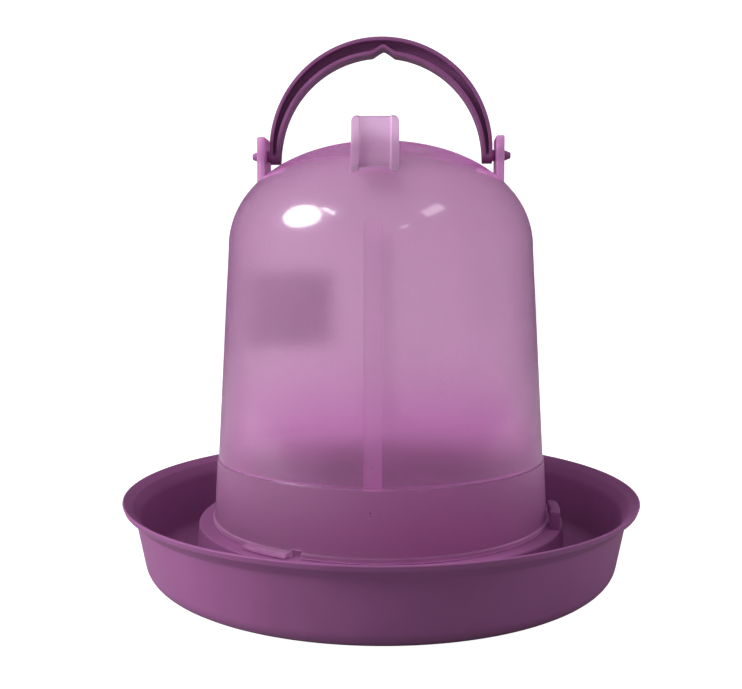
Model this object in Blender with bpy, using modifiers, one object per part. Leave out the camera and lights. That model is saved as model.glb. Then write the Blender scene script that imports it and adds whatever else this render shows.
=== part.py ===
"""Poultry waterer fount: a drinking tray, a twist-on reservoir bell and a folding carry handle.

Metres, +Z up. The origin is the centre of the tray's underside, +X runs along the handle's hinge
and -Y is the front. The reservoir stands on the tray's ledge and turns about Z to lock under two
catches. The handle's snap pins turn about X in the two side lugs.
"""
import math

import bmesh
import bpy
from mathutils import Matrix, Vector

MM = 0.001
GAP = 0.3 * MM                # clearance between solids that touch in use
SEGMENTS = 64                 # facets round the tray and the reservoir
SMALL_SEGMENTS = 24           # facets round the pins and their bores
MERGE = 0.00001
OVERRUN = 1.0 * MM            # how far a cutter passes the surface it opens

# Drinking tray: a ring trough round a raised pedestal
RIM_RADIUS = 151.0 * MM
RIM_Z = 45.4 * MM
LIP_EDGE_RADIUS = 150.0 * MM
LIP_EDGE_Z = 42.3 * MM
LIP_ROOT_RADIUS = 145.5 * MM
LIP_ROOT_Z = 42.0 * MM
WALL_TOP_RADIUS = 142.4 * MM
WALL_TOP_Z = 30.0 * MM
CORNER_RADIUS = 11.85 * MM    # outside radius between the tray's wall and its foot
WALL_FOOT_RADIUS = 139.0 * MM
TRAY_WALL = 2.5 * MM
DRAFT = 6.0                   # degrees that the tray's wall leans out
TROUGH_FLOOR_Z = 3.0 * MM
LEDGE_Z = 29.1 * MM
LEDGE_RADIUS = 108.1 * MM
LEDGE_FILLET = 1.2 * MM
PEDESTAL_FILLET = 3.4 * MM
HOLLOW_CHAMFER = 1.6 * MM
PEDESTAL_FOOT_RADIUS = 109.9 * MM
FOOT_RING_INNER_RADIUS = 107.8 * MM

# Reservoir: a superellipse dome on a tapered body, with a wider skirt at the bottom
DOME_RADIUS = 89.1 * MM
DOME_BASE_Z = 188.0 * MM
DOME_RISE = 62.5 * MM
DOME_POWER = 2.1
CROWN_RADIUS = 58.5 * MM      # the crown stands a half millimetre proud inside this radius
CROWN_STEP = 0.5 * MM
BODY_FOOT_RADIUS = 96.2 * MM
STEP_Z = 66.5 * MM
SKIRT_TOP_RADIUS = 96.9 * MM
SKIRT_FOOT_RADIUS = 98.8 * MM
BEAD_RADIUS = 100.0 * MM
BEAD_HEIGHT = 2.9 * MM
BELL_FOOT_Z = LEDGE_Z + GAP
BELL_WALL = 2.0 * MM

# Moulded ribs down the inside of the reservoir, front and back
RIB_WIDTH = 9.5 * MM
RIB_HEIGHT = 1.2 * MM
RIB_TOP_Z = 200.0 * MM

# Lugs on the dome: feet for filling it upside down, and the side pair carries the handle
LUG_INNER = 66.9 * MM
LUG_OUTER = 71.3 * MM
LUG_WEB = 2.2 * MM
LUG_WIDTH = 25.3 * MM
LUG_RAIL = 4.6 * MM
LUG_CORNER = 3.0 * MM
END_LUG_TOP_Z = 254.6 * MM
SIDE_LUG_TOP_Z = 253.0 * MM
LUG_ROOT_Z = 222.0 * MM

# Bayonet: three tabs on the reservoir, two hooked catches on the tray
STATION_SPACING = 120.0       # degrees
TAB_RADIUS = 104.2 * MM
TAB_TOP_Z = 31.6 * MM
TAB_START = -132.4            # degrees from +X, the first tab
TAB_SWEEP = 16.8
CATCH_START = -17.7           # degrees from +X, the closed end of the first catch
CATCH_SWEEP = 15.5
CATCH_STOP = 1.7              # degrees of solid end wall
CATCH_INNER_START = 102.0 * MM
CATCH_INNER_END = 99.6 * MM
CATCH_OUTER_START = 107.9 * MM
CATCH_OUTER_END = 105.0 * MM
CATCH_NOSE = 1.6              # degrees and millimetres of slope at the open end
CATCH_TOP_Z = 39.3 * MM
SLOT_RADIUS = 104.9 * MM
SLOT_TOP_Z = 32.3 * MM

# Water outlet in the reservoir's bottom edge
OUTLET_ANGLE = -113.4
OUTLET_WIDTH = 6.5 * MM
OUTLET_TOP_Z = 33.2 * MM

# Blank label on the outside of the reservoir's back
LABEL_START = 114.0
LABEL_SWEEP = 48.0
LABEL_LOW_Z = 125.0 * MM
LABEL_HIGH_Z = 175.0 * MM
LABEL_THICKNESS = 0.3 * MM
LABEL_SEGMENTS = 12

# Carry handle: an I-section arch between two snap pins
HINGE_Z = 242.6 * MM
HANDLE_OUTER_RADIUS = 65.0 * MM
HANDLE_OUTER_CENTRE_Z = 245.0 * MM
HANDLE_INNER_RADIUS = 59.2 * MM
HANDLE_INNER_CENTRE_Z = 240.9 * MM
HANDLE_HALF_DEPTH = 6.25 * MM
HANDLE_RIM = 2.0 * MM
HANDLE_WEB = 2.6 * MM
HANDLE_END_RADIUS = 4.7 * MM
TAPER_TOP_Z = 252.0 * MM      # the legs narrow from here down to their round ends
RECESS_FOOT_Z = 243.0 * MM
NOTCH_HALF_WIDTH = 6.5 * MM
NOTCH_X = 1.6 * MM            # the notch is a little off the middle
NOTCH_TOP_Z = 303.6 * MM
PIN_RADIUS = 2.9 * MM
PIN_ROOT = 63.6 * MM
PIN_HEAD_RADIUS = 4.2 * MM
PIN_TIP = 75.8 * MM
PIN_TIP_RADIUS = 1.7 * MM
COLLAR_END = 66.4 * MM        # a collar fills the space between the leg and the lug
COLLAR_RADIUS = 3.3 * MM

COLOURS = {
    "tray": (0.18, 0.06, 0.16),
    "reservoir": (0.44, 0.22, 0.41),
    "handle": (0.09, 0.03, 0.08),
    "label": (0.76, 0.71, 0.76),
}


def clear_scene():
    for obj in list(bpy.data.objects):
        bpy.data.objects.remove(obj, do_unlink=True)


def new_collection(name):
    collection = bpy.data.collections.new(name)
    bpy.context.scene.collection.children.link(collection)
    return collection


def plastic(name, roughness):
    material = bpy.data.materials.new(name)
    material.use_nodes = True
    shader = material.node_tree.nodes["Principled BSDF"]
    shader.inputs["Base Color"].default_value = (*COLOURS[name], 1.0)
    shader.inputs["Roughness"].default_value = roughness
    shader.inputs["Metallic"].default_value = 0.0
    return material


def arc(centre_x, centre_z, radius, start, end, steps):
    """Points round an arc, angles in degrees from +X."""
    angles = [math.radians(start + (end - start) * i / steps) for i in range(steps + 1)]
    return [(centre_x + radius * math.cos(a), centre_z + radius * math.sin(a)) for a in angles]


def dome_point(angle, radius, rise):
    """A point of the superellipse dome, from its apex at 0 degrees to its base at 90."""
    a = math.radians(angle)
    power = 2.0 / DOME_POWER
    return radius * math.sin(a) ** power, DOME_BASE_Z + rise * max(math.cos(a), 0.0) ** power


def body_radius(z):
    """Outside radius of the reservoir's tapered body."""
    share = (z - STEP_Z) / (DOME_BASE_Z - STEP_Z)
    return BODY_FOOT_RADIUS + (DOME_RADIUS - BODY_FOOT_RADIUS) * share


def as_helper(obj):
    obj.hide_render = True
    obj.display_type = "WIRE"
    return obj


def turned(name, profile, collection, start=0.0, sweep=360.0, steps=SEGMENTS):
    """A body of revolution about Z; the profile runs down its outer side."""
    mesh = bpy.data.meshes.new(name)
    edges = [(i, i + 1) for i in range(len(profile) - 1)]
    mesh.from_pydata([(x, 0.0, z) for x, z in profile], edges, [])
    obj = bpy.data.objects.new(name, mesh)
    collection.objects.link(obj)
    obj.rotation_euler.z = math.radians(start)
    screw = obj.modifiers.new("Turn", "SCREW")
    screw.angle = math.radians(sweep)
    screw.steps = screw.render_steps = steps
    screw.use_merge_vertices = True
    screw.merge_threshold = MERGE
    return obj


def plate(name, outline, thickness, collection):
    """A flat outline in X and Y, centred on its plane, as a mesh with welded caps."""
    curve = bpy.data.curves.new(name, "CURVE")
    curve.dimensions = "2D"
    curve.fill_mode = "BOTH"
    curve.extrude = thickness / 2
    spline = curve.splines.new("POLY")
    spline.points.add(len(outline) - 1)
    for point, (x, y) in zip(spline.points, outline):
        point.co = (x, y, 0.0, 1.0)
    spline.use_cyclic_u = True
    flat = bpy.data.objects.new(name + "_outline", curve)
    collection.objects.link(flat)
    bpy.context.view_layer.update()
    evaluated = flat.evaluated_get(bpy.context.evaluated_depsgraph_get())
    mesh = bpy.data.meshes.new_from_object(evaluated)
    mesh.name = name
    bpy.data.objects.remove(flat, do_unlink=True)
    bpy.data.curves.remove(curve)
    work = bmesh.new()
    work.from_mesh(mesh)
    bmesh.ops.remove_doubles(work, verts=work.verts, dist=MERGE)
    bmesh.ops.recalc_face_normals(work, faces=work.faces)
    work.to_mesh(mesh)
    work.free()
    obj = bpy.data.objects.new(name, mesh)
    collection.objects.link(obj)
    return obj


def box(name, low, high, collection):
    low, high = Vector(low), Vector(high)
    mesh = bpy.data.meshes.new(name)
    work = bmesh.new()
    bmesh.ops.create_cube(work, size=1.0, matrix=Matrix.Diagonal((*(high - low), 1.0)))
    work.to_mesh(mesh)
    work.free()
    obj = bpy.data.objects.new(name, mesh)
    obj.location = (low + high) / 2
    collection.objects.link(obj)
    return obj


def combine(target, operand, operation):
    modifier = target.modifiers.new(operation.title() + " " + operand.name, "BOOLEAN")
    modifier.operation = operation
    modifier.solver = "EXACT"
    modifier.object = as_helper(operand)


def finish(obj, material):
    """Last steps of every part: its material, and smooth round faces with sharp edges."""
    depsgraph = bpy.context.evaluated_depsgraph_get()
    mesh = bpy.data.meshes.new_from_object(obj.evaluated_get(depsgraph))
    mesh.name = obj.name
    obj.modifiers.clear()
    obj.data = mesh
    mesh.materials.clear()
    mesh.materials.append(material)
    mesh.shade_smooth()
    mesh.set_sharp_from_angle(angle=math.radians(35))


def spiral(first_radius, last_radius, start, end, steps):
    """Points round the Z axis, angles in degrees from +X, while the radius changes evenly."""
    points = []
    for i in range(steps + 1):
        share = i / steps
        radius = first_radius + (last_radius - first_radius) * share
        angle = math.radians(start + (end - start) * share)
        points.append((radius * math.cos(angle), radius * math.sin(angle)))
    return points


def sector(name, outer, inner, low_z, high_z, collection):
    """A block with a flat top and foot between an outer and an inner outline."""
    block = plate(name, outer + inner, high_z - low_z, collection)
    block.location.z = (low_z + high_z) / 2
    return block


def tray_profile():
    corner_x = WALL_FOOT_RADIUS - CORNER_RADIUS
    inside_corner = CORNER_RADIUS - TROUGH_FLOOR_Z
    ledge_fillet = arc(LEDGE_RADIUS - LEDGE_FILLET, LEDGE_Z - LEDGE_FILLET, LEDGE_FILLET, 90, DRAFT, 3)
    pedestal_fillet = arc(PEDESTAL_FOOT_RADIUS + PEDESTAL_FILLET, TROUGH_FLOOR_Z + PEDESTAL_FILLET,
                          PEDESTAL_FILLET, 180 + DRAFT, 270, 3)
    trough_corner = arc(corner_x, CORNER_RADIUS, inside_corner, -90, -DRAFT, 5)
    outer_corner = arc(corner_x, CORNER_RADIUS, CORNER_RADIUS, -DRAFT, -90, 6)
    top_side = [(0.0, LEDGE_Z)] + ledge_fillet + pedestal_fillet + trough_corner + [
        (WALL_TOP_RADIUS - TRAY_WALL, WALL_TOP_Z),
        (WALL_TOP_RADIUS - 1.3 * MM, LIP_ROOT_Z - 4.0 * MM),
        (WALL_TOP_RADIUS + 0.1 * MM, LIP_ROOT_Z - 1.6 * MM),
        (LIP_ROOT_RADIUS, LIP_ROOT_Z),
        (RIM_RADIUS - 0.9 * MM, RIM_Z),
        (RIM_RADIUS - 0.2 * MM, RIM_Z - 0.1 * MM),
        (RIM_RADIUS, RIM_Z - 0.6 * MM),
        (LIP_EDGE_RADIUS, LIP_EDGE_Z),
    ]
    under_side = [
        (LIP_EDGE_RADIUS - 0.9 * MM, LIP_EDGE_Z - 0.3 * MM),
        (WALL_TOP_RADIUS + 2.2 * MM, LIP_EDGE_Z - 3.5 * MM),
        (WALL_TOP_RADIUS + 0.7 * MM, LIP_EDGE_Z - 5.6 * MM),
        (WALL_TOP_RADIUS, WALL_TOP_Z),
    ] + outer_corner + [
        (FOOT_RING_INNER_RADIUS, 0.0),
        (LEDGE_RADIUS - TRAY_WALL, LEDGE_Z - TRAY_WALL - HOLLOW_CHAMFER),
        (LEDGE_RADIUS - TRAY_WALL - HOLLOW_CHAMFER, LEDGE_Z - TRAY_WALL),
        (0.0, LEDGE_Z - TRAY_WALL),
    ]
    return top_side + under_side


def make_catch(index, helpers):
    """A hooked catch that closes in on the skirt: shut at its clockwise end, open at the other."""
    start = CATCH_START + STATION_SPACING * index
    stop = start + CATCH_STOP
    end = start + CATCH_SWEEP
    outer = spiral(CATCH_OUTER_START, CATCH_OUTER_END, start, end - CATCH_NOSE, 5)
    nose_radius = CATCH_OUTER_END - CATCH_NOSE * MM
    outer += [(nose_radius * math.cos(math.radians(end)), nose_radius * math.sin(math.radians(end)))]
    inner = spiral(CATCH_INNER_END, CATCH_INNER_START, end, stop, 5)
    inner += arc(0.0, 0.0, CATCH_INNER_START, start, start, 1)[:1]
    block = sector(f"catch_{index}", outer, inner, LEDGE_Z - OVERRUN, CATCH_TOP_Z, helpers)
    slot_outer = arc(0.0, 0.0, SLOT_RADIUS, stop, end + 2.0, 6)
    slot_inner = arc(0.0, 0.0, CATCH_INNER_END - OVERRUN, end + 2.0, stop, 6)
    slot = sector(f"catch_slot_{index}", slot_outer, slot_inner, LEDGE_Z - 2 * OVERRUN, SLOT_TOP_Z, helpers)
    combine(block, slot, "DIFFERENCE")
    return block


def make_tray(parts, helpers):
    tray = turned("drinking_tray", tray_profile(), parts)
    for index in range(2):
        combine(tray, make_catch(index, helpers), "UNION")
    finish(tray, plastic("tray", 0.42))


def bell_outside():
    crown_end = math.degrees(math.asin((CROWN_RADIUS / DOME_RADIUS) ** (DOME_POWER / 2)))
    crown = [dome_point(crown_end * i / 6, DOME_RADIUS, DOME_RISE) for i in range(7)]
    shoulder = [dome_point(crown_end + (90 - crown_end) * i / 9, DOME_RADIUS, DOME_RISE) for i in range(10)]
    shoulder[0] = (CROWN_RADIUS + 0.4 * MM, shoulder[0][1] - CROWN_STEP)
    skirt = [
        (BODY_FOOT_RADIUS, STEP_Z),
        (SKIRT_TOP_RADIUS, STEP_Z - 0.7 * MM),
        (SKIRT_FOOT_RADIUS, BELL_FOOT_Z + BEAD_HEIGHT),
        (BEAD_RADIUS, BELL_FOOT_Z + BEAD_HEIGHT - 0.7 * MM),
        (BEAD_RADIUS, BELL_FOOT_Z + 0.5 * MM),
        (BEAD_RADIUS - 0.5 * MM, BELL_FOOT_Z),
    ]
    return crown + shoulder + skirt + [(0.0, BELL_FOOT_Z)]


def cavity_profile():
    """The hollow inside the reservoir, from its top down past its open foot."""
    dome = [dome_point(9.0 * i, DOME_RADIUS - BELL_WALL, DOME_RISE - BELL_WALL) for i in range(11)]
    return dome + [
        (BODY_FOOT_RADIUS - BELL_WALL, STEP_Z + 1.0 * MM),
        (SKIRT_TOP_RADIUS - BELL_WALL, STEP_Z - 1.0 * MM),
        (SKIRT_FOOT_RADIUS - BELL_WALL, BELL_FOOT_Z + BEAD_HEIGHT),
        (SKIRT_FOOT_RADIUS - BELL_WALL + 0.4 * MM, BELL_FOOT_Z - 2 * OVERRUN),
        (0.0, BELL_FOOT_Z - 2 * OVERRUN),
    ]


def make_rib(index, helpers):
    """A flat rib that follows the body's taper; index 0 is at the front and 1 at the back."""
    low, high = STEP_Z - 2.0 * MM, RIB_TOP_Z
    half = RIB_WIDTH / 2
    middle_z = (low + high) / 2
    inner_face = body_radius(middle_z) - BELL_WALL - RIB_HEIGHT
    depth = 12.0 * MM
    rib = box(f"rib_{index}", (-half, 0.0, low), (half, depth, high), helpers)
    lean = math.atan2(BODY_FOOT_RADIUS - DOME_RADIUS, DOME_BASE_Z - STEP_Z)
    side = 1 if index else -1
    spin = Matrix.Rotation(0.0 if index else math.pi, 4, "Z")
    rib.data.transform(Matrix.Translation((0.0, depth / 2, 0.0)))
    rib.matrix_world = (
        Matrix.Translation((0.0, side * inner_face, middle_z)) @ spin @ Matrix.Rotation(lean, 4, "X")
    )
    return rib


def make_lug(index, helpers):
    """A channel-section lug that opens outwards; 0 is +X, then anticlockwise."""
    top = END_LUG_TOP_Z if index % 2 else SIDE_LUG_TOP_Z
    half = LUG_WIDTH / 2
    corner_y = top - LUG_CORNER
    outline = [(-half, LUG_ROOT_Z), (half, LUG_ROOT_Z)]
    outline += arc(half - LUG_CORNER, corner_y, LUG_CORNER, 0, 90, 4)
    outline += arc(-half + LUG_CORNER, corner_y, LUG_CORNER, 90, 180, 4)
    lug = plate(f"lug_{index}", outline, LUG_OUTER - LUG_INNER, helpers)
    stand = Matrix.Rotation(math.radians(90), 4, "X")
    lug.data.transform(Matrix.Translation((0.0, -(LUG_INNER + LUG_OUTER) / 2, 0.0)) @ stand)
    channel = box(f"lug_channel_{index}", (-half + LUG_RAIL, -LUG_OUTER - OVERRUN, LUG_ROOT_Z - OVERRUN),
                  (half - LUG_RAIL, -LUG_INNER - LUG_WEB, top + OVERRUN), helpers)
    turn = Matrix.Rotation(math.radians(90 * (index + 1)), 4, "Z")
    for piece in (lug, channel):
        piece.matrix_world = turn @ Matrix.Translation(piece.location)
    combine(lug, channel, "DIFFERENCE")
    return lug


def make_tab(index, helpers):
    start = TAB_START + STATION_SPACING * index
    end = start + TAB_SWEEP
    outer = arc(0.0, 0.0, TAB_RADIUS, start, end, 6)
    inner = arc(0.0, 0.0, BEAD_RADIUS - BELL_WALL, end, start, 6)
    return sector(f"tab_{index}", outer, inner, BELL_FOOT_Z + 0.2 * MM, TAB_TOP_Z, helpers)


def on_hinge(side):
    """Lays a body turned about Z along the handle's hinge, with its top towards the given side."""
    return Matrix.Translation((0.0, 0.0, HINGE_Z)) @ Matrix.Rotation(side * math.pi / 2, 4, "Y")


def make_bell(parts, helpers, bell_axis):
    bell = turned("reservoir_bell", bell_outside(), parts)
    bell.parent = bell_axis
    for index in range(4):
        combine(bell, make_lug(index, helpers), "UNION")
    for index in range(3):
        combine(bell, make_tab(index, helpers), "UNION")
    cavity = turned("cavity", cavity_profile(), helpers)
    for index in range(2):
        combine(cavity, make_rib(index, helpers), "DIFFERENCE")
    combine(bell, cavity, "DIFFERENCE")
    bore_radius = PIN_RADIUS + GAP
    bore_profile = [(0.0, LUG_OUTER + OVERRUN), (bore_radius, LUG_OUTER + OVERRUN),
                    (bore_radius, LUG_INNER - OVERRUN), (0.0, LUG_INNER - OVERRUN)]
    for side in (-1, 1):
        bore = turned(f"pin_bore_{side}", bore_profile, helpers, steps=SMALL_SEGMENTS)
        bore.matrix_world = on_hinge(side)
        combine(bell, bore, "DIFFERENCE")
    half = OUTLET_WIDTH / 2
    outlet = box("outlet", (BODY_FOOT_RADIUS - 4.0 * MM, -half, LEDGE_Z - OVERRUN),
                 (TAB_RADIUS + OVERRUN, half, OUTLET_TOP_Z), helpers)
    turn = Matrix.Rotation(math.radians(OUTLET_ANGLE), 4, "Z")
    outlet.matrix_world = turn @ Matrix.Translation(outlet.location)
    combine(bell, outlet, "DIFFERENCE")
    finish(bell, plastic("reservoir", 0.28))


def make_label(parts, bell_axis):
    edge = GAP + LABEL_THICKNESS
    profile = [
        (body_radius(LABEL_HIGH_Z) + edge, LABEL_HIGH_Z),
        (body_radius(LABEL_LOW_Z) + edge, LABEL_LOW_Z),
    ]
    label = turned("back_label", profile, parts, LABEL_START, LABEL_SWEEP, steps=LABEL_SEGMENTS)
    label.parent = bell_axis
    skin = label.modifiers.new("Thickness", "SOLIDIFY")
    skin.thickness = LABEL_THICKNESS
    skin.offset = -1.0
    finish(label, plastic("label", 0.6))


def arch_outline(inset, foot_z):
    """The arch seen from the front, with the hanging notch in its inner edge."""
    outer_r = HANDLE_OUTER_RADIUS - inset
    inner_r = HANDLE_INNER_RADIUS + inset
    outer = [(outer_r, foot_z)] + arc(0.0, HANDLE_OUTER_CENTRE_Z, outer_r, 0, 180, 32) + [(-outer_r, foot_z)]
    left_angle = math.degrees(math.asin((NOTCH_HALF_WIDTH - NOTCH_X) / HANDLE_INNER_RADIUS))
    right_angle = math.degrees(math.asin((NOTCH_HALF_WIDTH + NOTCH_X) / HANDLE_INNER_RADIUS))
    rise = math.degrees(math.asin(max(foot_z - HANDLE_INNER_CENTRE_Z, 0.0) / inner_r))
    left = arc(0.0, HANDLE_INNER_CENTRE_Z, inner_r, 180 - rise, 90 + left_angle, 13)
    right = arc(0.0, HANDLE_INNER_CENTRE_Z, inner_r, 90 - right_angle, rise, 13)
    if foot_z < HANDLE_INNER_CENTRE_Z:
        left.insert(0, (-inner_r, foot_z))
        right.append((inner_r, foot_z))
    peak = NOTCH_TOP_Z + inset
    steps = ((-2.6, 1.5), (-1.1, 0.3), (0.0, 0.0), (1.1, 0.3), (2.6, 1.5))
    notch = [(NOTCH_X + x * MM, peak - drop * MM) for x, drop in steps]
    return outer + left + notch + right


def upright(obj, y):
    """Stand a plate made in X and Y up into X and Z, at the given depth."""
    obj.data.transform(Matrix.Translation((0.0, y, 0.0)) @ Matrix.Rotation(math.radians(90), 4, "X"))


def make_handle(parts, helpers, hinge):
    arch = plate("carry_handle", arch_outline(0.0, HINGE_Z - HANDLE_END_RADIUS - OVERRUN),
                 2 * HANDLE_HALF_DEPTH, parts)
    upright(arch, 0.0)
    recess_depth = HANDLE_HALF_DEPTH - HANDLE_WEB / 2
    for side in (-1, 1):
        outline = arch_outline(HANDLE_RIM, RECESS_FOOT_Z)
        recess = plate(f"recess_{side}", outline, recess_depth + OVERRUN, helpers)
        upright(recess, side * (HANDLE_WEB / 2 + (recess_depth + OVERRUN) / 2))
        combine(arch, recess, "DIFFERENCE")
    top = HANDLE_OUTER_CENTRE_Z + HANDLE_OUTER_RADIUS + OVERRUN
    width = HANDLE_HALF_DEPTH + OVERRUN
    side_view = [(width, top), (-width, top), (-HANDLE_HALF_DEPTH, TAPER_TOP_Z)]
    side_view += arc(0.0, HINGE_Z, HANDLE_END_RADIUS, 180, 360, 12) + [(HANDLE_HALF_DEPTH, TAPER_TOP_Z)]
    round_end = plate("round_ends", side_view, 2 * (HANDLE_OUTER_RADIUS + OVERRUN), helpers)
    side_on = Matrix.Rotation(math.pi / 2, 4, "Z") @ Matrix.Rotation(math.pi / 2, 4, "X")
    round_end.data.transform(side_on)
    combine(arch, round_end, "INTERSECT")
    head_start = LUG_INNER + LUG_WEB + GAP
    pin_profile = [(0.0, PIN_TIP), (PIN_TIP_RADIUS, PIN_TIP), (PIN_HEAD_RADIUS, head_start),
                   (PIN_RADIUS, head_start), (PIN_RADIUS, COLLAR_END), (COLLAR_RADIUS, COLLAR_END),
                   (COLLAR_RADIUS, PIN_ROOT), (0.0, PIN_ROOT)]
    for side in (-1, 1):
        pin = turned(f"snap_pin_{side}", pin_profile, helpers, steps=SMALL_SEGMENTS)
        pin.matrix_world = on_hinge(side)
        combine(arch, pin, "UNION")
    finish(arch, plastic("handle", 0.38))
    arch.data.transform(Matrix.Translation((0.0, 0.0, -HINGE_Z)))
    arch.parent = hinge


def make_axis(name, location, collection, parent=None):
    axis = bpy.data.objects.new(name, None)
    axis.empty_display_size = 0.02
    axis.location = location
    axis.parent = parent
    collection.objects.link(axis)
    return axis


def main():
    clear_scene()
    parts = new_collection("poultry_waterer_fount")
    helpers = new_collection("cutters")
    bell_axis = make_axis("bell_axis", (0.0, 0.0, 0.0), parts)
    hinge = make_axis("handle_hinge", (0.0, 0.0, HINGE_Z), parts, bell_axis)
    make_tray(parts, helpers)
    make_bell(parts, helpers, bell_axis)
    make_label(parts, bell_axis)
    make_handle(parts, helpers, hinge)


main()
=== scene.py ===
"""Looks of the poultry waterer fount: fine moulded surfaces, plastic materials, studio light."""
import math

import bmesh
import bpy
from mathutils import Matrix, Vector


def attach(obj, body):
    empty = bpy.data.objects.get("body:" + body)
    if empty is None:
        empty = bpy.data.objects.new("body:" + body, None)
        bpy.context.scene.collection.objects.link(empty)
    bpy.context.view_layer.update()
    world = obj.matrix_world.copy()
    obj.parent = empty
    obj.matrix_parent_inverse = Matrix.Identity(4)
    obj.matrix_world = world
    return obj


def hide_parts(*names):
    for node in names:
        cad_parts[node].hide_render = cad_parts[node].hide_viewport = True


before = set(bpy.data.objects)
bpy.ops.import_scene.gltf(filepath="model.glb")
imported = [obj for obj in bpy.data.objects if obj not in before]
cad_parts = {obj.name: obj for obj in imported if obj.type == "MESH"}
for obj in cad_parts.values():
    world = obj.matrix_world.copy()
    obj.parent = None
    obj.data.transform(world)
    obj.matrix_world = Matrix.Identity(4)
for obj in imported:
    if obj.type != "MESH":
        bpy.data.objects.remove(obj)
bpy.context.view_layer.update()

MM = 0.001
SEGMENTS = 192                # facets round each turned surface
SMALL_SEGMENTS = 48           # facets round a pin or its bore
ARC_STEP = 9.0                # degrees between points of a rounded corner in a profile
GAP = 0.3                     # millimetres between pieces that touch in the real object
OVERRUN = 1.0                 # millimetres or degrees that a cutter reaches past what it cuts

# Drinking tray, millimetres
LEDGE_Z = 29.1
LEDGE_RADIUS = 108.1
TROUGH_FLOOR_Z = 3.0
TRAY_WALL = 2.5
TRAY_WALL_RADIUS, TRAY_WALL_Z = 142.4, 30.0   # the wall's outside, at one height
TRAY_WALL_LEAN = 3.4 / 18.1                   # how far it leans out for each millimetre up

# Reservoir, millimetres
DOME_RADIUS = 89.1
DOME_BASE_Z = 188.0
DOME_RISE = 62.5
DOME_POWER = 2.1
CROWN_RADIUS = 58.5
BODY_FOOT_RADIUS = 96.2
STEP_Z = 66.5
BELL_FOOT_Z = LEDGE_Z + GAP
BEAD_RADIUS = 100.0
BELL_WALL = 2.0
RIB_HALF_WIDTH = 4.75
RIB_HEIGHT = 1.2
RIB_TOP_Z = 200.0
RIB_DEPTH = 12.0              # from the rib's face to beyond the wall that it is part of

# Lugs, millimetres
LUG_INNER = 66.9
LUG_OUTER = 71.3
LUG_WEB = 2.2
LUG_WIDTH = 25.3
LUG_RAIL = 4.6
LUG_TAPER = 0.4               # by how much each side leans in at the top
LUG_CORNER = 3.0
END_LUG_TOP_Z = 254.6
SIDE_LUG_TOP_Z = 253.0
LUG_ROOT_Z = 222.0

# Bayonet and outlet: millimetres, and degrees from +X
STATION_SPACING = 120.0
TAB_START, TAB_SWEEP, TAB_RADIUS, TAB_TOP_Z = -132.4, 16.8, 104.2, 31.6
CATCH_START, CATCH_SWEEP, CATCH_STOP = -17.7, 15.5, 1.7
CATCH_NOSE = 1.6              # degrees and millimetres cut off the open end's outer corner
CATCH_INNER_START, CATCH_INNER_END = 102.0, 99.6
CATCH_OUTER_START, CATCH_OUTER_END, CATCH_TOP_Z = 107.9, 105.0, 39.3
SLOT_RADIUS, SLOT_TOP_Z = 104.9, 32.3
OUTLET_ANGLE, OUTLET_WIDTH, OUTLET_TOP_Z = -113.4, 6.5, 33.2

# Handle, millimetres
HINGE_Z = 242.6
HANDLE_OUTER_RADIUS, HANDLE_OUTER_CENTRE_Z = 65.0, 245.0
HANDLE_INNER_RADIUS, HANDLE_INNER_CENTRE_Z = 59.2, 240.9
HANDLE_HALF_DEPTH, HANDLE_RIM, HANDLE_WEB = 6.25, 2.0, 2.6
HANDLE_END_RADIUS, TAPER_TOP_Z, RECESS_FOOT_Z = 4.7, 252.0, 243.0
NOTCH_HALF_WIDTH, NOTCH_X, NOTCH_TOP_Z = 6.5, 1.6, 303.6
NOTCH_SHOULDER_X, NOTCH_SHOULDER_DROP = 2.6, 1.2
PIN_RADIUS, PIN_ROOT, PIN_HEAD_RADIUS = 2.9, 63.6, 4.2
PIN_TIP, PIN_TIP_RADIUS = 75.8, 1.7
COLLAR_END, COLLAR_RADIUS = 66.4, 3.3

# Label, millimetres, and degrees from +X
LABEL_START, LABEL_SWEEP, LABEL_LOW_Z, LABEL_HIGH_Z = 114.0, 48.0, 125.0, 175.0
LABEL_CORNER, LABEL_THICKNESS, LABEL_STRIPS = 3.0, 0.25, 16

# Camera: it looks a little down, and stands slightly to the right of the front
CAMERA_DISTANCE = 0.546
CAMERA_HEIGHT = 0.175
CAMERA_AZIMUTH = 2.4          # degrees round from the front, towards +X
CAMERA_YAW = 0.6              # degrees that it looks to the left of the object's axis
CAMERA_PITCH = 4.55           # degrees downwards
CAMERA_LENS = 44.44           # millimetres on a 36 mm wide sensor
SENSOR_WIDTH = 36.0

# Strength of the white surroundings
WORLD_LIGHT = 0.25            # as a lamp
MIRROR_LIGHT = 0.08           # where it is mirrored in gloss
THROUGH_LIGHT = 1.35          # added where it is seen through the clear plastic
FLOOR_GLOW = 1.0              # added to the floor where it is seen directly
FLOOR_RADIUS = 9000.0         # millimetres
LAMP_AIM_Z = 0.18             # metres: the height of the point that the lamps face

# Heights, in metres, between which the painted shade low on the clear plastics fades: their darker, deeper
# foot colour below the first, their top colour above the second
FOOT_SHADE_FULL_Z, FOOT_SHADE_END_Z = 0.06, 0.125

# The reservoir's material slots after the clear wall's
RIB_SLOT, SKIRT_SLOT, END_LUG_SLOT, SIDE_LUG_SLOT = 1, 2, 3, 4


# ---------------------------------------------------------------- profiles and meshes


def arc(centre_x, centre_y, radius, start, end, steps):
    """Points round an arc, angles in degrees from the first axis."""
    angles = [math.radians(start + (end - start) * i / steps) for i in range(steps + 1)]
    return [(centre_x + radius * math.cos(a), centre_y + radius * math.sin(a)) for a in angles]


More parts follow.
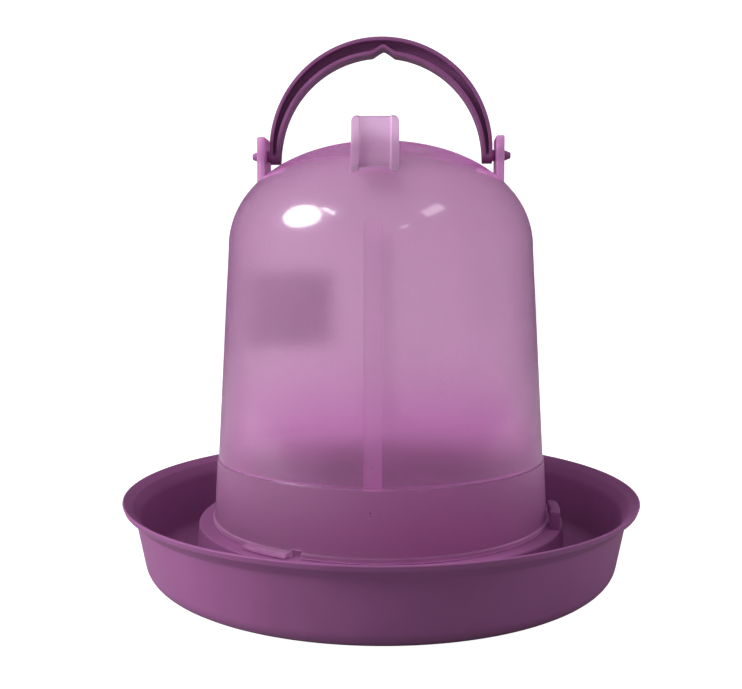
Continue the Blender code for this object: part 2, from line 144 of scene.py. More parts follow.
def rounded(corners, closed=False):
    """A polyline from (x, y, radius) corners, with each corner turned into an arc of its radius."""
    points = []
    count = len(corners)
    for i, (x, y, radius) in enumerate(corners):
        here = Vector((x, y))
        if radius <= 0 or (not closed and i in (0, count - 1)):
            points.append((x, y))
            continue
        before = Vector(corners[i - 1][:2]) - here
        after = Vector(corners[(i + 1) % count][:2]) - here
        opening = before.angle(after)
        reach = min(radius / math.tan(opening / 2), 0.49 * before.length, 0.49 * after.length)
        true_radius = reach * math.tan(opening / 2)
        middle = before.normalized() + after.normalized()
        centre = here + middle.normalized() * true_radius / math.sin(opening / 2)
        first = here + before.normalized() * reach - centre
        last = here + after.normalized() * reach - centre
        turn = first.angle_signed(last)
        steps = max(2, math.ceil(abs(math.degrees(turn)) / ARC_STEP))
        for k in range(steps + 1):
            a = -turn * k / steps
            points.append((centre.x + first.x * math.cos(a) - first.y * math.sin(a),
                           centre.y + first.x * math.sin(a) + first.y * math.cos(a)))
    return points


def new_object(name, work, matrix=None):
    """A mesh object in metres from a bmesh in millimetres."""
    bmesh.ops.recalc_face_normals(work, faces=work.faces)
    mesh = bpy.data.meshes.new(name)
    work.to_mesh(mesh)
    work.free()
    mesh.transform(Matrix.Scale(MM, 4) @ (matrix or Matrix.Identity(4)))
    obj = bpy.data.objects.new(name, mesh)
    bpy.context.scene.collection.objects.link(obj)
    return obj


def turned(name, profile, start=0.0, sweep=360.0, segments=SEGMENTS, matrix=None):
    """A body of revolution about Z from an (r, z) profile, closed into a solid."""
    work = bmesh.new()
    verts = [work.verts.new((x, 0.0, z)) for x, z in profile]
    edges = [work.edges.new(pair) for pair in zip(verts, verts[1:])]
    whole = sweep >= 360.0
    if profile[0][0] > 0 or not whole:
        edges.append(work.edges.new((verts[-1], verts[0])))
    spin = Matrix.Rotation(math.radians(start), 3, "Z")
    bmesh.ops.rotate(work, verts=work.verts, matrix=spin)
    ends = bmesh.ops.spin(work, geom=verts + edges, axis=(0, 0, 1), angle=math.radians(sweep),
                          steps=segments, use_merge=whole)
    if not whole:
        work.faces.new(verts)
        last = [v for v in ends["geom_last"] if isinstance(v, bmesh.types.BMVert)]
        work.faces.new(last)
    bmesh.ops.remove_doubles(work, verts=work.verts, dist=0.001)
    return new_object(name, work, matrix)


def plate(name, outline, low, high, matrix=None):
    """An outline in X and Y, given thickness from low to high along Z."""
    work = bmesh.new()
    face = work.faces.new([work.verts.new((x, y, low)) for x, y in outline])
    raised = bmesh.ops.extrude_face_region(work, geom=[face])
    verts = [v for v in raised["geom"] if isinstance(v, bmesh.types.BMVert)]
    bmesh.ops.translate(work, verts=verts, vec=(0, 0, high - low))
    return new_object(name, work, matrix)


def box(name, low, high, matrix=None):
    outline = [(low[0], low[1]), (high[0], low[1]), (high[0], high[1]), (low[0], high[1])]
    return plate(name, outline, low[2], high[2], matrix)


def bake_modifiers(obj):
    """Replaces an object's mesh with what its modifiers make of it."""
    evaluated = obj.evaluated_get(bpy.context.evaluated_depsgraph_get())
    mesh = bpy.data.meshes.new_from_object(evaluated)
    obj.modifiers.clear()
    old = obj.data
    obj.data = mesh
    mesh.name = obj.name
    bpy.data.meshes.remove(old)
    return obj


def combine(target, operand, operation):
    """Applies a boolean and removes the operand."""
    modifier = target.modifiers.new("Shape", "BOOLEAN")
    modifier.operation = operation
    modifier.solver = "EXACT"
    modifier.object = operand
    bake_modifiers(target)
    bpy.data.objects.remove(operand, do_unlink=True)
    return target


def soften_edges(obj, width, segments=2, angle=40.0):
    """Rounds an object's sharp edges, as a mould does."""
    bevel = obj.modifiers.new("Mould radius", "BEVEL")
    bevel.width = width * MM
    bevel.segments = segments
    bevel.limit_method = "ANGLE"
    bevel.angle_limit = math.radians(angle)
    bevel.use_clamp_overlap = True
    return bake_modifiers(obj)


def clean(obj, smooth_angle=32.0):
    """Welds what the booleans left, and shades round faces smooth."""
    work = bmesh.new()
    work.from_mesh(obj.data)
    bmesh.ops.remove_doubles(work, verts=work.verts, dist=0.004 * MM)
    bmesh.ops.dissolve_degenerate(work, edges=work.edges, dist=0.002 * MM)
    work.to_mesh(obj.data)
    work.free()
    obj.data.shade_smooth()
    obj.data.set_sharp_from_angle(angle=math.radians(smooth_angle))
    return obj


UPRIGHT = Matrix.Rotation(math.radians(90), 4, "X")


def turn_z(degrees):
    return Matrix.Rotation(math.radians(degrees), 4, "Z")


# ---------------------------------------------------------------- the drinking tray


def tray_wall(z):
    """The radius of the outside of the tray's wall."""
    return TRAY_WALL_RADIUS + (z - TRAY_WALL_Z) * TRAY_WALL_LEAN


def tray_profile():
    """Round the tray's section from the middle of the pedestal's top to the middle below it."""
    return rounded([
        (0.0, LEDGE_Z, 0.0),
        (LEDGE_RADIUS - 0.1, LEDGE_Z, 1.2),
        (109.9, TROUGH_FLOOR_Z, 3.6),
        (tray_wall(TROUGH_FLOOR_Z) - TRAY_WALL, TROUGH_FLOOR_Z, 9.0),
        # The wall's inside, and the rim that flares out above it
        (tray_wall(36.5) - TRAY_WALL, 36.5, 9.0),
        (145.2, 42.2, 3.0),
        (150.15, 45.65, 0.7),
        # The rim's edge, and back under it down the wall's outside
        (151.05, 45.15, 0.6),
        (150.0, 42.2, 0.5),
        (149.1, 42.0, 0.6),
        (tray_wall(36.0) + 0.2, 36.6, 3.0),
        # The foot, and the hollow under the pedestal
        (tray_wall(0.0), 0.0, 11.85),
        (107.8, 0.0, 0.6),
        (LEDGE_RADIUS - TRAY_WALL, LEDGE_Z - TRAY_WALL, 2.0),
        (0.0, LEDGE_Z - TRAY_WALL, 0.0),
    ])


def polar(radius, angle):
    """A point at a radius from the Z axis and an angle in degrees from +X."""
    turn = math.radians(angle)
    return radius * math.cos(turn), radius * math.sin(turn)


def spiral(first_radius, last_radius, start, end, steps):
    """Points round the Z axis, angles in degrees from +X, while the radius changes evenly."""
    shares = [i / steps for i in range(steps + 1)]
    return [polar(first_radius + (last_radius - first_radius) * share, start + (end - start) * share)
            for share in shares]


def make_catch(index):
    """A hooked catch that closes in on the skirt: shut at its clockwise end, open at the other."""
    start = CATCH_START + STATION_SPACING * index
    stop = start + CATCH_STOP
    end = start + CATCH_SWEEP
    outer = spiral(CATCH_OUTER_START, CATCH_OUTER_END, start, end - CATCH_NOSE, 8)
    outer.append(polar(CATCH_OUTER_END - CATCH_NOSE, end))
    inner = spiral(CATCH_INNER_END, CATCH_INNER_START, end, stop, 8)
    inner.append(polar(CATCH_INNER_START, start))
    block = plate(f"catch_{index}", outer + inner, LEDGE_Z - OVERRUN, CATCH_TOP_Z)
    soften_edges(block, 0.6, 3)
    slot_end = end + 2 * OVERRUN
    slot_outline = arc(0, 0, SLOT_RADIUS, stop, slot_end, 8)
    slot_outline += arc(0, 0, CATCH_INNER_END - OVERRUN, slot_end, stop, 8)
    slot = plate(f"slot_{index}", slot_outline, LEDGE_Z - 2 * OVERRUN, SLOT_TOP_Z)
    return combine(block, slot, "DIFFERENCE")


def make_tray():
    tray = turned("tray_moulding", tray_profile())
    for index in range(2):
        combine(tray, make_catch(index), "UNION")
    return clean(tray)


# ---------------------------------------------------------------- the reservoir


def dome_point(angle, inset):
    """A point of the superellipse dome, from its apex at 0 degrees to its base at 90."""
    a = math.radians(angle)
    power = 2.0 / DOME_POWER
    radius = (DOME_RADIUS - inset) * math.sin(a) ** power
    return radius, DOME_BASE_Z + (DOME_RISE - inset) * max(math.cos(a), 0.0) ** power


def dome_radius(z):
    """The radius of the dome's outside at a height."""
    rise = min(max((z - DOME_BASE_Z) / DOME_RISE, 0.0), 1.0)
    return DOME_RADIUS * (1.0 - rise ** DOME_POWER) ** (1.0 / DOME_POWER)


def body_radius(z):
    """The radius of the outside of the tapered wall below the dome."""
    share = (z - STEP_Z) / (DOME_BASE_Z - STEP_Z)
    return BODY_FOOT_RADIUS + (DOME_RADIUS - BODY_FOOT_RADIUS) * share


def crown_angle():
    """Where on the dome the crown's crease runs, in dome_point's degrees."""
    return math.degrees(math.asin((CROWN_RADIUS / DOME_RADIUS) ** (DOME_POWER / 2)))


def bell_outside():
    """The reservoir's outside from its apex to its foot: crown, crease, shoulder, wall, skirt and bead."""
    edge = crown_angle()
    crown = [dome_point(edge * i / 14, 0.0) for i in range(15)]
    shoulder = [dome_point(edge + 1.0 + (89.0 - edge) * i / 22, 0.0) for i in range(23)]
    crease_r, crease_z = crown[-1]
    step = [(crease_r + 0.35, crease_z - 0.12), (crease_r + 0.8, crease_z - 0.58)]
    body = rounded([
        (*shoulder[-1], 0.0),
        (BODY_FOOT_RADIUS, STEP_Z + 0.1, 0.4),
        (96.95, STEP_Z - 0.5, 0.35),
        (98.8, BELL_FOOT_Z + 2.9, 0.4),
        (BEAD_RADIUS, BELL_FOOT_Z + 2.3, 0.3),
        (BEAD_RADIUS, BELL_FOOT_Z, 0.5),
        (0.0, BELL_FOOT_Z, 0.0),
    ])
    return crown + step + shoulder[:-1] + body


def cavity_profile():
    """The water space's section, from the top of the dome to below the open foot."""
    dome = [dome_point(90.0 * i / 30, BELL_WALL) for i in range(31)]
    wall = rounded([
        (*dome[-1], 0.0),
        (BODY_FOOT_RADIUS - BELL_WALL, STEP_Z + 1.0, 1.0),
        (97.0 - BELL_WALL, STEP_Z - 1.0, 1.0),
        (98.8 - BELL_WALL, BELL_FOOT_Z + 2.9, 0.8),
        (99.2 - BELL_WALL, BELL_FOOT_Z - 2.0, 0.0),
    ])
    return dome[:-1] + wall + [(0.0, BELL_FOOT_Z - 2.0)]


def make_rib(index):
    """A flat rib that follows the inside of the wall; index 0 is at the front, 1 at the back."""
    low, high = STEP_Z - 2.0, RIB_TOP_Z
    middle_z = (low + high) / 2
    inside = body_radius(middle_z) - BELL_WALL
    lean = math.atan2(BODY_FOOT_RADIUS - DOME_RADIUS, DOME_BASE_Z - STEP_Z)
    place = turn_z(180 * (1 - index)) @ Matrix.Translation((0, inside - RIB_HEIGHT, middle_z))
    half_length = (high - low) / 2
    return box(f"rib_{index}", (-RIB_HALF_WIDTH, 0, -half_length), (RIB_HALF_WIDTH, RIB_DEPTH, half_length),
               place @ Matrix.Rotation(lean, 4, "X"))


def make_lug(index):
    """A channel-section lug that opens outwards; 0 is +X, then anticlockwise."""
    top = END_LUG_TOP_Z if index % 2 else SIDE_LUG_TOP_Z
    half = LUG_WIDTH / 2
    half_top = half - LUG_TAPER
    outline = rounded([(-half, LUG_ROOT_Z, 0), (half, LUG_ROOT_Z, 0), (half_top, top, LUG_CORNER),
                       (-half_top, top, LUG_CORNER)], closed=True)
    turn = turn_z(90 * (index + 1))
    lug = plate(f"lug_{index}", outline, LUG_INNER, LUG_OUTER, turn @ UPRIGHT)
    gap = half - LUG_RAIL
    channel = box(f"channel_{index}", (-gap, -LUG_OUTER - OVERRUN, LUG_ROOT_Z - 5 * OVERRUN),
                  (gap, -LUG_INNER - LUG_WEB, top + 5 * OVERRUN), turn)
    combine(lug, channel, "DIFFERENCE")
    return soften_edges(lug, 0.55, 3)


def make_tab(index):
    """A bayonet tab that stands out from the reservoir's foot and locks under a catch."""
    start = TAB_START + STATION_SPACING * index
    outline = arc(0, 0, TAB_RADIUS, start, start + TAB_SWEEP, 10)
    outline += arc(0, 0, BEAD_RADIUS - 2.0, start + TAB_SWEEP, start, 10)
    tab = plate(f"tab_{index}", outline, BELL_FOOT_Z + 0.2, TAB_TOP_Z)
    return soften_edges(tab, 0.35)


def make_bell():
    bell = turned("reservoir_moulding", bell_outside())
    for index in range(4):
        combine(bell, make_lug(index), "UNION")
    for index in range(3):
        combine(bell, make_tab(index), "UNION")
    cavity = turned("cavity", cavity_profile())
    for index in range(2):
        combine(cavity, make_rib(index), "DIFFERENCE")
    combine(bell, cavity, "DIFFERENCE")
    bore_radius = PIN_RADIUS + GAP
    bore_profile = [(0, 4.5), (bore_radius, 4.5), (bore_radius, -4.5), (0, -4.5)]
    for side in (-1, 1):
        middle = Matrix.Translation((side * (LUG_INNER + 1.5), 0, HINGE_Z))
        bore = turned("bore", bore_profile, segments=SMALL_SEGMENTS,
                      matrix=middle @ Matrix.Rotation(math.pi / 2, 4, "Y"))
        combine(bell, bore, "DIFFERENCE")
    half = OUTLET_WIDTH / 2
    outlet = box("outlet", (92, -half, LEDGE_Z - 2 * OVERRUN), (106, half, OUTLET_TOP_Z),
                 turn_z(OUTLET_ANGLE))
    combine(bell, outlet, "DIFFERENCE")
    return clean(bell)


def make_label():
    """The blank label, a thin rounded patch on the back of the reservoir's wall."""
    width = math.radians(LABEL_SWEEP) * body_radius((LABEL_LOW_Z + LABEL_HIGH_Z) / 2)
    height = LABEL_HIGH_Z - LABEL_LOW_Z
    sketch = rounded([(0, 0, LABEL_CORNER), (width, 0, LABEL_CORNER), (width, height, LABEL_CORNER),
                      (0, height, LABEL_CORNER)], closed=True)
    work = bmesh.new()
    face = work.faces.new([work.verts.new((x, y, 0)) for x, y in sketch])
    bmesh.ops.triangulate(work, faces=[face])
    for i in range(1, LABEL_STRIPS):
        bmesh.ops.bisect_plane(work, geom=list(work.verts) + list(work.edges) + list(work.faces),
                               plane_co=(width * i / LABEL_STRIPS, 0, 0), plane_no=(1, 0, 0))
    for vert in work.verts:
        z = LABEL_LOW_Z + vert.co.y
        angle = LABEL_START + vert.co.x / width * LABEL_SWEEP
        vert.co = (*polar(body_radius(z) + GAP, angle), z)
    label = new_object("blank_label", work)
    skin = label.modifiers.new("Thickness", "SOLIDIFY")
    skin.thickness = LABEL_THICKNESS * MM
    skin.offset = 1.0
    bake_modifiers(label)
    return clean(label)


# ---------------------------------------------------------------- the handle


def arch_outline(inset, foot_z):
    """The arch seen from the front, with the hanging notch in its inner edge."""
    outer_r = HANDLE_OUTER_RADIUS - inset
    inner_r = HANDLE_INNER_RADIUS + inset
    outer = [(outer_r, foot_z)] + arc(0, HANDLE_OUTER_CENTRE_Z, outer_r, 0, 180, 60) + [(-outer_r, foot_z)]
    left_angle = math.degrees(math.asin((NOTCH_HALF_WIDTH - NOTCH_X) / HANDLE_INNER_RADIUS))
    right_angle = math.degrees(math.asin((NOTCH_HALF_WIDTH + NOTCH_X) / HANDLE_INNER_RADIUS))
    rise = math.degrees(math.asin(max(foot_z - HANDLE_INNER_CENTRE_Z, 0.0) / inner_r))
    left = arc(0, HANDLE_INNER_CENTRE_Z, inner_r, 180 - rise, 90 + left_angle, 26)
    right = arc(0, HANDLE_INNER_CENTRE_Z, inner_r, 90 - right_angle, rise, 26)
    if foot_z < HANDLE_INNER_CENTRE_Z:
        left.insert(0, (-inner_r, foot_z))
        right.append((inner_r, foot_z))
    peak = NOTCH_TOP_Z + inset
    shoulder_z = peak - NOTCH_SHOULDER_DROP
    notch = rounded([
        (*left[-2], 0),
        (*left[-1], 1.2),
        (NOTCH_X - NOTCH_SHOULDER_X, shoulder_z, 1.6),
        (NOTCH_X, peak + 0.3, 2.2),
        (NOTCH_X + NOTCH_SHOULDER_X, shoulder_z, 1.6),
        (*right[0], 1.2),
        (*right[1], 0),
    ])
    return outer + left[:-1] + notch[1:-1] + right[1:]


def pin_profile():
    """A snap pin's section along its axis, from the tip to the root inside the handle's leg."""
    head_start = LUG_INNER + LUG_WEB + GAP
    root = PIN_ROOT - 2 * OVERRUN
    return rounded([
        (0, PIN_TIP, 0),
        (PIN_TIP_RADIUS, PIN_TIP, 0.6),
        (PIN_HEAD_RADIUS, head_start, 0.3),
        (PIN_RADIUS, head_start, 0),
        (PIN_RADIUS, COLLAR_END, 0),
        (COLLAR_RADIUS, COLLAR_END, 0.4),
        (COLLAR_RADIUS, root, 0),
        (0, root, 0),
    ])


def make_handle():
    foot = HINGE_Z - HANDLE_END_RADIUS - OVERRUN
    arch = plate("handle_moulding", arch_outline(0.0, foot), -HANDLE_HALF_DEPTH, HANDLE_HALF_DEPTH, UPRIGHT)
    top = HANDLE_OUTER_CENTRE_Z + HANDLE_OUTER_RADIUS + 5 * OVERRUN
    wide = HANDLE_HALF_DEPTH + OVERRUN
    side_view = [(wide, top), (-wide, top), (-HANDLE_HALF_DEPTH, TAPER_TOP_Z)]
    side_view += arc(0, HINGE_Z, HANDLE_END_RADIUS, 180, 360, 24)
    side_view.append((HANDLE_HALF_DEPTH, TAPER_TOP_Z))
    rounded_ends = plate("ends", side_view, -80, 80, turn_z(90) @ UPRIGHT)
    combine(arch, rounded_ends, "INTERSECT")
    for side in (-1, 1):
        near, far = sorted((side * HANDLE_WEB / 2, side * (HANDLE_HALF_DEPTH + OVERRUN)))
        recess = plate("recess", arch_outline(HANDLE_RIM, RECESS_FOOT_Z), -far, -near, UPRIGHT)
        combine(arch, recess, "DIFFERENCE")
    soften_edges(arch, 0.45, 3)
    for side in (-1, 1):
        place = Matrix.Translation((0, 0, HINGE_Z)) @ Matrix.Rotation(side * math.pi / 2, 4, "Y")
        combine(arch, turned("pin", pin_profile(), segments=SMALL_SEGMENTS, matrix=place), "UNION")
    return clean(arch)


# ---------------------------------------------------------------- materials


class Nodes:
    """Short names for building a plastic's node tree."""

    def __init__(self, name):
        self.material = bpy.data.materials.new(name)
        self.material.use_nodes = True
        self.tree = self.material.node_tree
        self.shader = self.tree.nodes["Principled BSDF"]
        self.place = self.tree.nodes.new("ShaderNodeTexCoord").outputs["Object"]

    def add(self, kind, inputs=None, **settings):
        node = self.tree.nodes.new(kind)
        for key, value in settings.items():
            setattr(node, key, value)
        for key, value in (inputs or {}).items():
            if isinstance(value, bpy.types.NodeSocket):
                self.tree.links.new(value, node.inputs[key])
            else:
                node.inputs[key].default_value = value
        return node

    def noise(self, scale, detail=3.0, roughness=0.5, stretch=(1, 1, 1)):
        mapped = self.add("ShaderNodeMapping", {"Vector": self.place, "Scale": stretch})
        return self.add("ShaderNodeTexNoise", {"Vector": mapped.outputs[0], "Scale": scale,
                                               "Detail": detail, "Roughness": roughness}).outputs["Fac"]

    def ramp(self, value, low, high, to_low=0.0, to_high=1.0):
        return self.add("ShaderNodeMapRange", {"Value": value, "From Min": low, "From Max": high,
                                               "To Min": to_low, "To Max": to_high}).outputs[0]

    def blend(self, amount, first, second, kind="MIX"):
        node = self.add("ShaderNodeMix", data_type="RGBA", blend_type=kind)
        for key, value in ((0, amount), (6, first), (7, second)):
            if isinstance(value, bpy.types.NodeSocket):
                self.tree.links.new(value, node.inputs[key])
            else:
                node.inputs[key].default_value = value
        return node.outputs[2]

    def specks(self, scale, size, rarity):
        """One in each few cells: a dot of the given share of a cell's width."""
        cells = self.add("ShaderNodeTexVoronoi", {"Vector": self.place, "Scale": scale})
        dot = self.ramp(cells.outputs["Distance"], size, size * 0.6)
        lottery = self.add("ShaderNodeSeparateColor", {"Color": cells.outputs["Color"]}).outputs[0]
        chosen = self.add("ShaderNodeMath", {0: lottery, 1: rarity}, operation="GREATER_THAN").outputs[0]
        return self.add("ShaderNodeMath", {0: dot, 1: chosen}, operation="MULTIPLY").outputs[0]

    def feed(self, socket, value):
        self.tree.links.new(value, self.shader.inputs[socket])


def rgb(r, g, b):
    return (r, g, b, 1.0)


def moulded_plastic(name, light, dark, roughness, grain=0.04):
    """Dyed moulded plastic: cloudy colour, faint flow streaks, scuffs, and a fine grained surface."""
    n = Nodes(name)
    clouds = n.ramp(n.noise(18.0, 4.0), 0.3, 0.7)
    streaks = n.ramp(n.noise(60.0, 3.0, stretch=(1, 1, 0.06)), 0.35, 0.65)
    tone = n.blend(clouds, dark, light)
    tone = n.blend(n.ramp(streaks, 0, 1, 0.0, 0.14), tone, light)
    scuffs = n.ramp(n.noise(240.0, 5.0, 0.65, stretch=(1, 1, 0.35)), 0.66, 0.74, 0.0, 0.2)
    pale = rgb(*(min(1.0, c * 1.6 + 0.03) for c in light[:3]))
    n.feed("Base Color", n.blend(scuffs, tone, pale))
    wear = n.ramp(n.noise(35.0, 4.0), 0.3, 0.7, roughness - 0.05, roughness + 0.07)
    n.feed("Roughness", wear)
    bump = n.add("ShaderNodeBump", {"Height": n.noise(900.0, 2.0), "Strength": grain, "Distance": 0.0004})
    broad = n.add("ShaderNodeBump", {"Height": n.noise(28.0, 2.0), "Strength": 0.08, "Distance": 0.002,
                                     "Normal": bump.outputs[0]})
    n.feed("Normal", broad.outputs[0])
    n.shader.inputs["Specular IOR Level"].default_value = 0.3
    n.shader.inputs["Specular Tint"].default_value = rgb(1.0, 0.6, 0.95)
    return n.material


def milky_plastic(name, clear, foot, top, blur, sheen=0.5, gloss=1.0):
    """Clear moulded plastic with a milky body: a glossy skin over a wall that blurs what is behind it, with
    a painted shade that deepens its colour towards the foot.
    """
    n = Nodes(name)
    # Painted shade: the foot colour, deeper than the top colour, stands for the shade low on the reservoir
    # and blends into the top colour between the two heights.
    height = n.add("ShaderNodeSeparateXYZ", {"Vector": n.place}).outputs["Z"]
    rise = n.add("ShaderNodeMapRange", {"Value": height, "From Min": FOOT_SHADE_FULL_Z, "From Max": FOOT_SHADE_END_Z},
                 interpolation_type="SMOOTHSTEP").outputs[0]
    tone = n.blend(rise, foot, top)
    clouds = n.ramp(n.noise(16.0, 4.0), 0.3, 0.7, 0.0, 0.1)
    streaks = n.ramp(n.noise(70.0, 3.0, stretch=(1, 1, 0.05)), 0.35, 0.65, 0.0, 0.06)
    tone = n.blend(streaks, n.blend(clouds, tone, foot), top)
    n.feed("Base Color", n.blend(n.specks(60.0, 0.03, 0.88), tone, rgb(0.1, 0.03, 0.09)))
    n.feed("Roughness", n.ramp(n.noise(30.0, 4.0), 0.3, 0.7, blur - 0.025, blur + 0.035))
    fine = n.add("ShaderNodeBump", {"Height": n.noise(500.0, 2.0), "Strength": 0.03, "Distance": 0.0005})
    broad = n.add("ShaderNodeBump", {"Height": n.noise(24.0, 2.0), "Strength": 0.1, "Distance": 0.002,
                                     "Normal": fine.outputs[0]})
    n.feed("Normal", broad.outputs[0])
    n.tree.links.new(broad.outputs[0], n.shader.inputs["Coat Normal"])
    for socket, value in (("Transmission Weight", clear), ("IOR", 1.4), ("Coat Weight", gloss),
                          ("Coat Roughness", 0.12), ("Coat IOR", 1.6), ("Sheen Weight", sheen),
                          ("Sheen Roughness", 0.5), ("Sheen Tint", rgb(1.0, 0.2, 0.85))):
        n.shader.inputs[socket].default_value = value
    return n.material


def label_film():
    """Blank matt label film with faint wrinkles, which lets some light through."""
    n = Nodes("label_film")
    tone = n.blend(n.ramp(n.noise(40.0, 4.0), 0.3, 0.7), rgb(0.76, 0.42, 0.70), rgb(0.82, 0.48, 0.76))
    n.feed("Base Color", tone)
    n.feed("Roughness", n.ramp(n.noise(80.0, 3.0), 0.3, 0.7, 0.5, 0.7))
    bump = n.add("ShaderNodeBump", {"Height": n.noise(70.0, 3.0, stretch=(1, 1, 0.3)), "Strength": 0.25,
                                    "Distance": 0.001})
    n.feed("Normal", bump.outputs[0])
    n.shader.inputs["Transmission Weight"].default_value = 0.6
    return n.material


# ---------------------------------------------------------------- the studio


def direction(azimuth, elevation):
    """A unit vector: azimuth from the camera's side of the object, positive to the camera's right."""
    a, e = math.radians(azimuth + CAMERA_AZIMUTH), math.radians(elevation)
    return Vector((math.sin(a) * math.cos(e), -math.cos(a) * math.cos(e), math.sin(e)))


def softbox(name, azimuth, elevation, distance, size, radiance, spin=0.0, shape="RECTANGLE", mirrored=True):
    """An area light aimed at the reservoir; its power follows from its size and its radiance."""
    light = bpy.data.lights.new(name, "AREA")
    light.shape = shape
    light.size, light.size_y = size
    area = size[0] * size[1] * (math.pi / 4 if shape == "ELLIPSE" else 1.0)
    light.energy = radiance * math.pi * area
    lamp = bpy.data.objects.new(name, light)
    aim = direction(azimuth, elevation)
    lamp.location = Vector((0, 0, LAMP_AIM_Z)) + aim * distance
    lamp.visible_glossy = mirrored
    lamp.visible_transmission = False
    lamp.rotation_mode = "QUATERNION"
    lamp.rotation_quaternion = aim.to_track_quat("Z", "Y") @ Matrix.Rotation(
        math.radians(spin), 4, "Z").to_quaternion()
    bpy.context.scene.collection.objects.link(lamp)


def multiply_add(tree, value, factor, extra):
    """A node that gives value times factor plus extra, where extra is a number or a socket."""
    node = tree.nodes.new("ShaderNodeMath")
    node.operation = "MULTIPLY_ADD"
    tree.links.new(value, node.inputs[0])
    node.inputs[1].default_value = factor
    if isinstance(extra, bpy.types.NodeSocket):
        tree.links.new(extra, node.inputs[2])
    else:
        node.inputs[2].default_value = extra
    return node.outputs[0]


def make_world():
    """White surroundings: white behind the object, dim as a lamp and in gloss, strong through plastic."""
    world = bpy.data.worlds.new("studio")
    bpy.context.scene.world = world
    world.use_nodes = True
    tree = world.node_tree
    background = tree.nodes["Background"]
    background.inputs["Color"].default_value = rgb(1.0, 1.0, 1.0)
    ray = tree.nodes.new("ShaderNodeLightPath").outputs
    strength = multiply_add(tree, ray["Is Glossy Ray"], MIRROR_LIGHT - WORLD_LIGHT, WORLD_LIGHT)
    strength = multiply_add(tree, ray["Is Transmission Ray"], THROUGH_LIGHT, strength)
    strength = multiply_add(tree, ray["Is Camera Ray"], 1.0, strength)
    tree.links.new(strength, background.inputs["Strength"])


def make_floor():
    """A wide pale floor that shows no shadow line against the white behind it."""
    floor = plate("floor", arc(0, 0, FLOOR_RADIUS, 0, 354, 59), -5.0, -0.2)
    n = Nodes("pale_floor")
    n.feed("Base Color", n.blend(n.noise(3.0), rgb(0.32, 0.32, 0.32), rgb(0.35, 0.35, 0.35)))
    n.shader.inputs["Roughness"].default_value = 0.8
    n.shader.inputs["Specular IOR Level"].default_value = 0.1
    n.shader.inputs["Emission Color"].default_value = rgb(1.0, 1.0, 1.0)
    ray = n.add("ShaderNodeLightPath").outputs
    strength = multiply_add(n.tree, ray["Is Camera Ray"], FLOOR_GLOW, 0.0)
    n.feed("Emission Strength", multiply_add(n.tree, ray["Is Transmission Ray"], THROUGH_LIGHT, strength))
    floor.data.materials.append(n.material)


def make_lamps():
    """Lamps whose reflections show on the dome, then broad fills that gloss doesn't mirror."""
    softbox("key", -64.0, 31.0, 1.5, (0.78, 0.62), 11.5, shape="ELLIPSE")
    softbox("key_edge", -43.0, 39.0, 1.5, (0.34, 0.07), 12.0, spin=-30.0)
    softbox("right_strip", 44.0, 40.0, 1.5, (0.46, 0.2), 3.2, spin=30.0)
    softbox("small_strip", 17.0, 22.5, 1.5, (0.2, 0.03), 9.0, spin=35.0)
    softbox("left_fill", -84.0, 2.0, 1.6, (1.0, 0.6), 12.0, mirrored=False)
    softbox("right_rim", 95.0, 6.0, 1.6, (0.8, 0.6), 8.0, mirrored=False)
    softbox("overhead", -25.0, 74.0, 1.6, (1.2, 1.2), 2.3, mirrored=False)


def make_camera():
    camera = bpy.data.objects.new("camera", bpy.data.cameras.new("camera"))
    bpy.context.scene.collection.objects.link(camera)
    camera.data.lens = CAMERA_LENS
    camera.data.sensor_width = SENSOR_WIDTH
    camera.data.clip_start = 0.01
    level = direction(0.0, 0.0) * CAMERA_DISTANCE
    camera.location = (level.x, level.y, CAMERA_HEIGHT)
    camera.rotation_euler = (math.radians(90 - CAMERA_PITCH), 0, math.radians(CAMERA_AZIMUTH + CAMERA_YAW))
    bpy.context.scene.camera = camera
    bpy.context.scene.view_settings.view_transform = "Standard"


# ---------------------------------------------------------------- the whole


def dress(piece, body, node, material):
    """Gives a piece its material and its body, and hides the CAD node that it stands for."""
    piece.data.materials.clear()
    piece.data.materials.append(material)
    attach(piece, body)
    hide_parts(node)


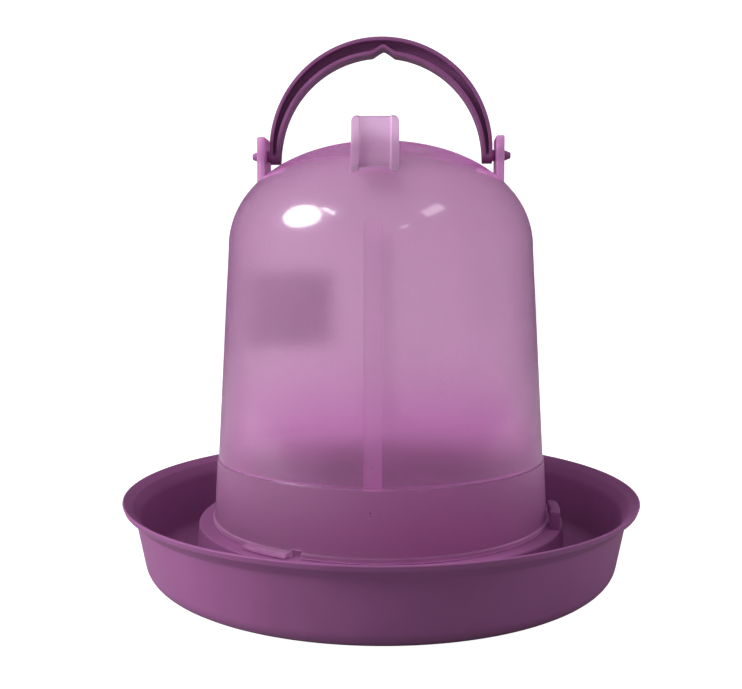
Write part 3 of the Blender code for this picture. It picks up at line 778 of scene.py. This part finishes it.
tray_plastic = moulded_plastic("tray_plastic", rgb(0.28, 0.096, 0.243), rgb(0.235, 0.08, 0.204), 0.42)
# The foot colours of the reservoir and its ribs are painted shade, deeper than their top colours.
reservoir_plastic = milky_plastic("reservoir_plastic", clear=0.89, foot=rgb(0.645, 0.28, 0.585),
                                  top=rgb(0.69, 0.50, 0.655), blur=0.225, sheen=0.42)
rib_plastic = milky_plastic("rib_plastic", clear=0.5, foot=rgb(0.79, 0.34, 0.71),
                            top=rgb(0.73, 0.48, 0.69), blur=0.225)
skirt_plastic = milky_plastic("skirt_plastic", clear=0.86, foot=rgb(0.71, 0.38, 0.65),
                              top=rgb(0.71, 0.38, 0.65), blur=0.4, sheen=0.05, gloss=0.15)
# The end lugs and the side lugs are one moulding's plastic; the side lugs get a darker, deeper, less glossy
# copy of it as painted shade.
end_lug_plastic = milky_plastic("end_lug_plastic", clear=0.64, foot=rgb(0.75, 0.49, 0.72),
                                top=rgb(0.75, 0.49, 0.72), blur=0.3)
side_lug_shaded_plastic = milky_plastic("side_lug_shaded_plastic", clear=0.55, foot=rgb(0.76, 0.38, 0.70),
                                 top=rgb(0.76, 0.38, 0.70), blur=0.33, gloss=0.4)
handle_plastic = moulded_plastic("handle_plastic", rgb(0.26, 0.089, 0.226), rgb(0.22, 0.074, 0.19), 0.34)


def mark_thick_parts(bell, *materials):
    """Gives the ribs, the skirt and the lugs a denser plastic than the clear wall has, and gives the side
    lugs a copy of the end lugs' plastic painted darker as painted shade.
    """
    for material in materials:
        bell.data.materials.append(material)
    for face in bell.data.polygons:
        x, y, z = face.center / MM
        reach = math.hypot(x, y)
        on_lug = z > LUG_ROOT_Z and reach > max(dome_radius(z) + 0.2, LUG_INNER - 1.0)
        inside_wall = z < RIB_TOP_Z - 1.0 and reach < body_radius(z) - BELL_WALL - 0.4
        if on_lug:
            # The side lugs get the painted shade copy of the lug plastic.
            face.material_index = END_LUG_SLOT if abs(y) > abs(x) else SIDE_LUG_SLOT
        elif z < STEP_Z - 0.2:
            face.material_index = SKIRT_SLOT
        elif inside_wall and abs(x) < RIB_HALF_WIDTH + 0.3:
            face.material_index = RIB_SLOT


make_camera()
make_world()
make_floor()
make_lamps()
dress(make_tray(), "tray", "drinking_tray", tray_plastic)
bell_piece = make_bell()
dress(bell_piece, "bell", "reservoir_bell", reservoir_plastic)
mark_thick_parts(bell_piece, rib_plastic, skirt_plastic, end_lug_plastic, side_lug_shaded_plastic)
dress(make_label(), "bell", "back_label", label_film())
dress(make_handle(), "handle", "carry_handle", handle_plastic)
